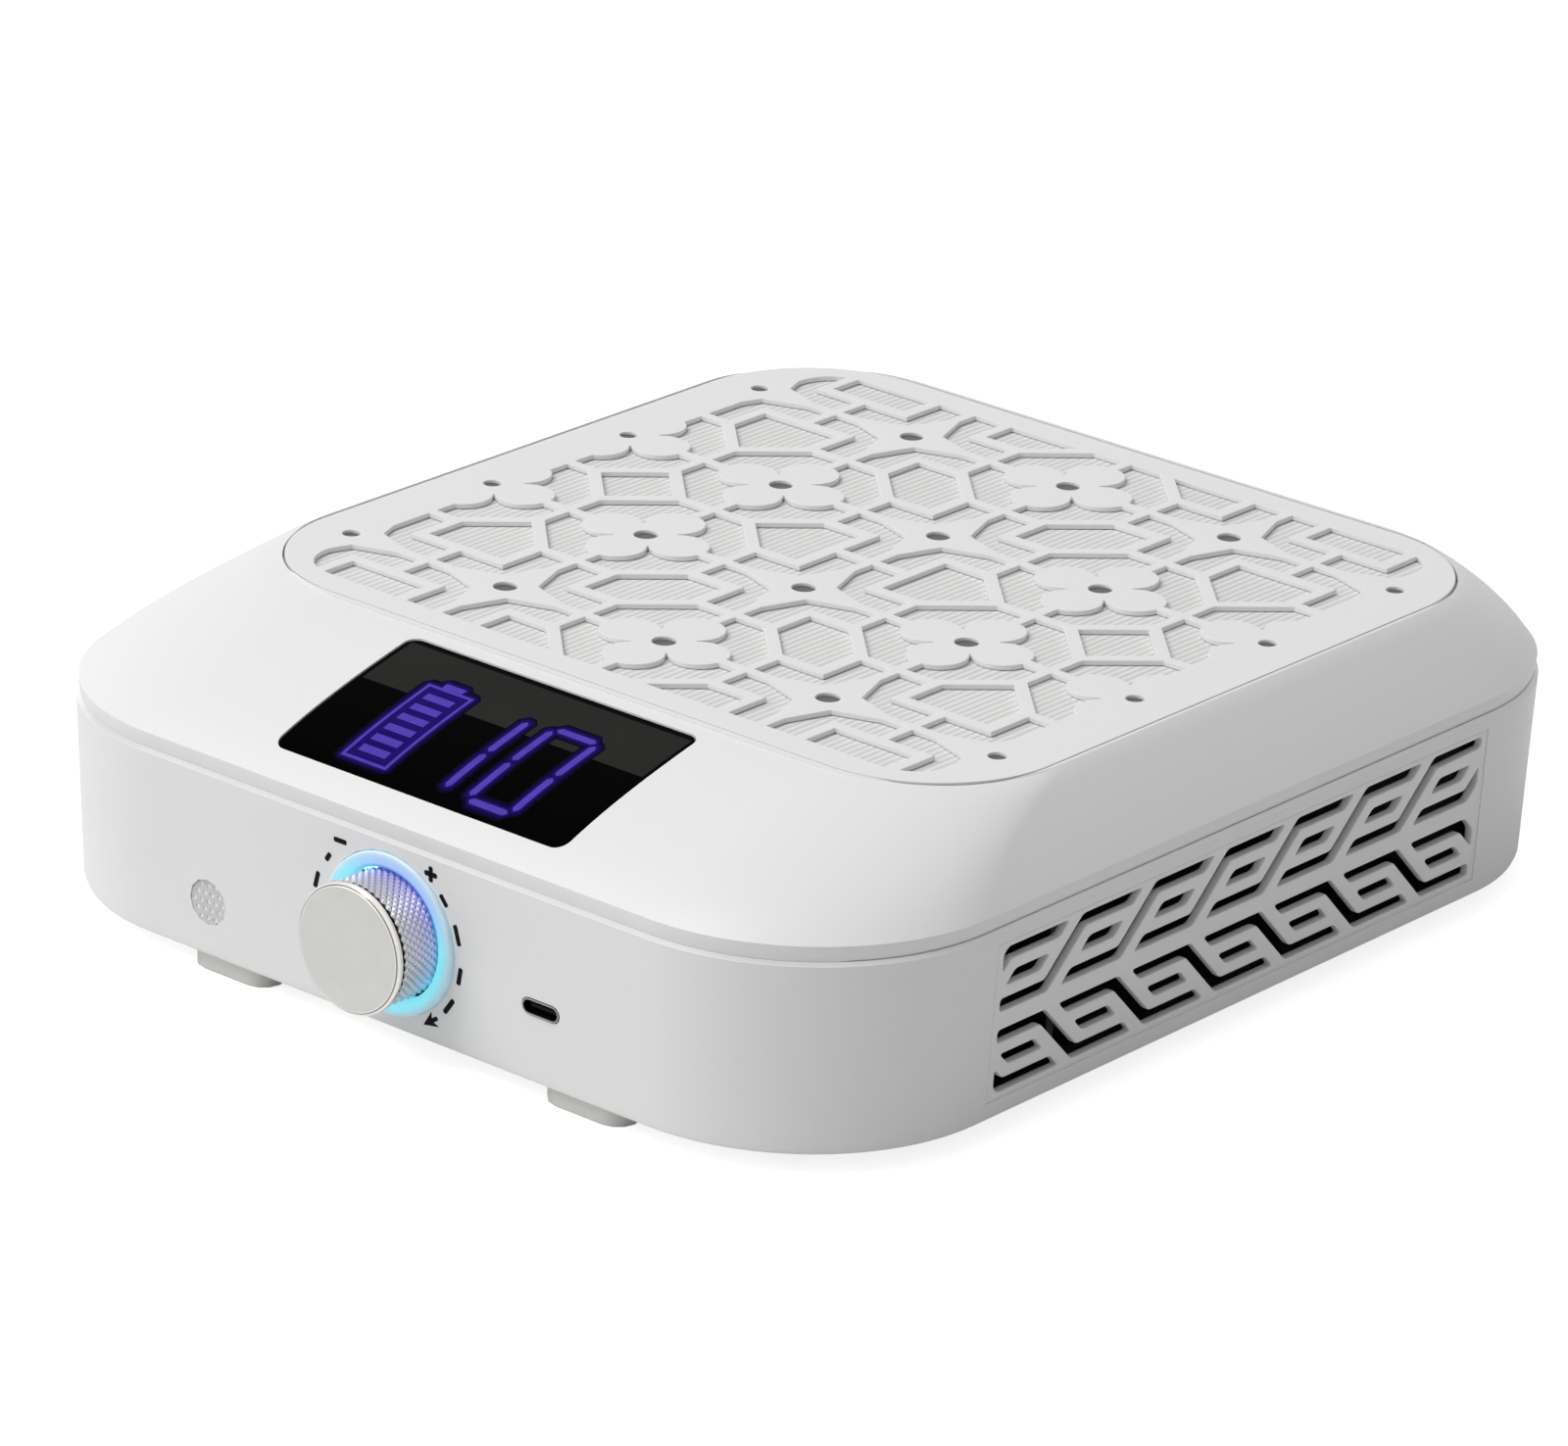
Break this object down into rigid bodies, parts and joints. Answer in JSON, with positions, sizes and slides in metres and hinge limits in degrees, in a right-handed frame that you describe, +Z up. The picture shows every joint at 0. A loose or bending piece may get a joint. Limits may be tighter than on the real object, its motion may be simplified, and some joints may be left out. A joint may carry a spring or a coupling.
{
  "type": "nail dust collector",
  "caption": "Rounded white desktop nail dust collector: ornamental lattice hand rest over a pleated filter, side vents, dark display and a lit rotary knob.",
  "frame": {"origin": "centre of the bounding box on the table surface that the feet stand on", "axes": "+Z up, -Y towards the user, where the knob and display are, +X to the user's right"},
  "size_m": [0.21, 0.248, 0.06],
  "materials": {
    "white_shell": "satin white moulded shell",
    "filter_plastic": "off-white moulded frame",
    "filter_paper": "pleated filter paper",
    "foam": "closed cell sealing foam",
    "dark_plastic": "fine textured black plastic",
    "steel": "plated steel",
    "copper": "lacquered copper winding",
    "magnet": "nickel plated magnet",
    "lens": "smoked black gloss window",
    "diffuser": "milky light guide, lit cyan",
    "knob_metal": "turned and brushed face, knurled side",
    "board": "solder mask green",
    "port_mesh": "grey perforated disc",
    "cell": "shrink sleeve",
    "led": "small lamp body",
    "rubber": "moulded dark grey rubber"
  },
  "bodies": {
    "housing": {"base_shell": "white_shell", "battery_cell_1": "cell", "battery_cell_2": "cell", "case_screw_1": "steel", "case_screw_2": "steel", "case_screw_3": "steel", "case_screw_4": "steel", "cell_holder": "dark_plastic", "charge_socket": "steel", "control_chip": "dark_plastic", "deck_screw_1": "steel", "deck_screw_2": "steel", "deck_screw_3": "steel", "deck_screw_4": "steel", "display_lens": "lens", "display_module": "dark_plastic", "encoder_body": "steel", "fan_housing": "dark_plastic", "filter_deck": "filter_plastic", "filter_gasket": "foam", "foot_1": "rubber", "foot_2": "rubber", "foot_3": "rubber", "foot_4": "rubber", "led_board": "board", "light_ring": "diffuser", "main_board": "board", "motor_base": "steel", "motor_bearing_lower": "steel", "motor_bearing_upper": "steel", "motor_stator": "copper", "power_capacitor": "dark_plastic", "ring_led_1": "led", "ring_led_2": "led", "ring_led_3": "led", "ring_led_4": "led", "side_grille_left": "white_shell", "side_grille_right": "white_shell", "sounder": "dark_plastic", "sounder_port": "port_mesh", "top_cover": "white_shell"},
    "grille": {"grille_panel": "white_shell"},
    "filter": {"filter_frame": "filter_plastic", "filter_media": "filter_paper"},
    "fan": {"impeller": "dark_plastic", "rotor_can": "steel", "rotor_magnet_ring": "magnet", "fan_shaft": "steel"},
    "knob_push": {"encoder_plunger": "dark_plastic"},
    "knob": {"knob_grip": "knob_metal", "knob_cap": "knob_metal", "knob_shaft": "steel"}
  },
  "joints": [
    {"name": "grille_lift", "type": "slide", "parent": "housing", "child": "grille", "axis": [0, 0, 1], "range_m": [0, 0.08]},
    {"name": "filter_lift", "type": "slide", "parent": "housing", "child": "filter", "axis": [0, 0, 1], "range_m": [0, 0.04]},
    {"name": "fan_spin", "type": "hinge", "parent": "housing", "child": "fan", "pos_m": [0, 0.02085, 0.0185], "axis": [0, 0, 1], "continuous": true},
    {"name": "knob_press", "type": "slide", "parent": "housing", "child": "knob_push", "axis": [0, 1, 0], "range_m": [0, 0.0006], "stiffness_N_per_m": 2500, "springref_m": -0.0012},
    {"name": "knob_turn", "type": "hinge", "parent": "knob_push", "child": "knob", "pos_m": [0, -0.1135, 0.0233], "axis": [0, -1, 0], "continuous": true}
  ],
  "couplings": [
    {"joint": "filter_lift", "follows": "grille_lift", "ratio": 0.5}
  ]
}
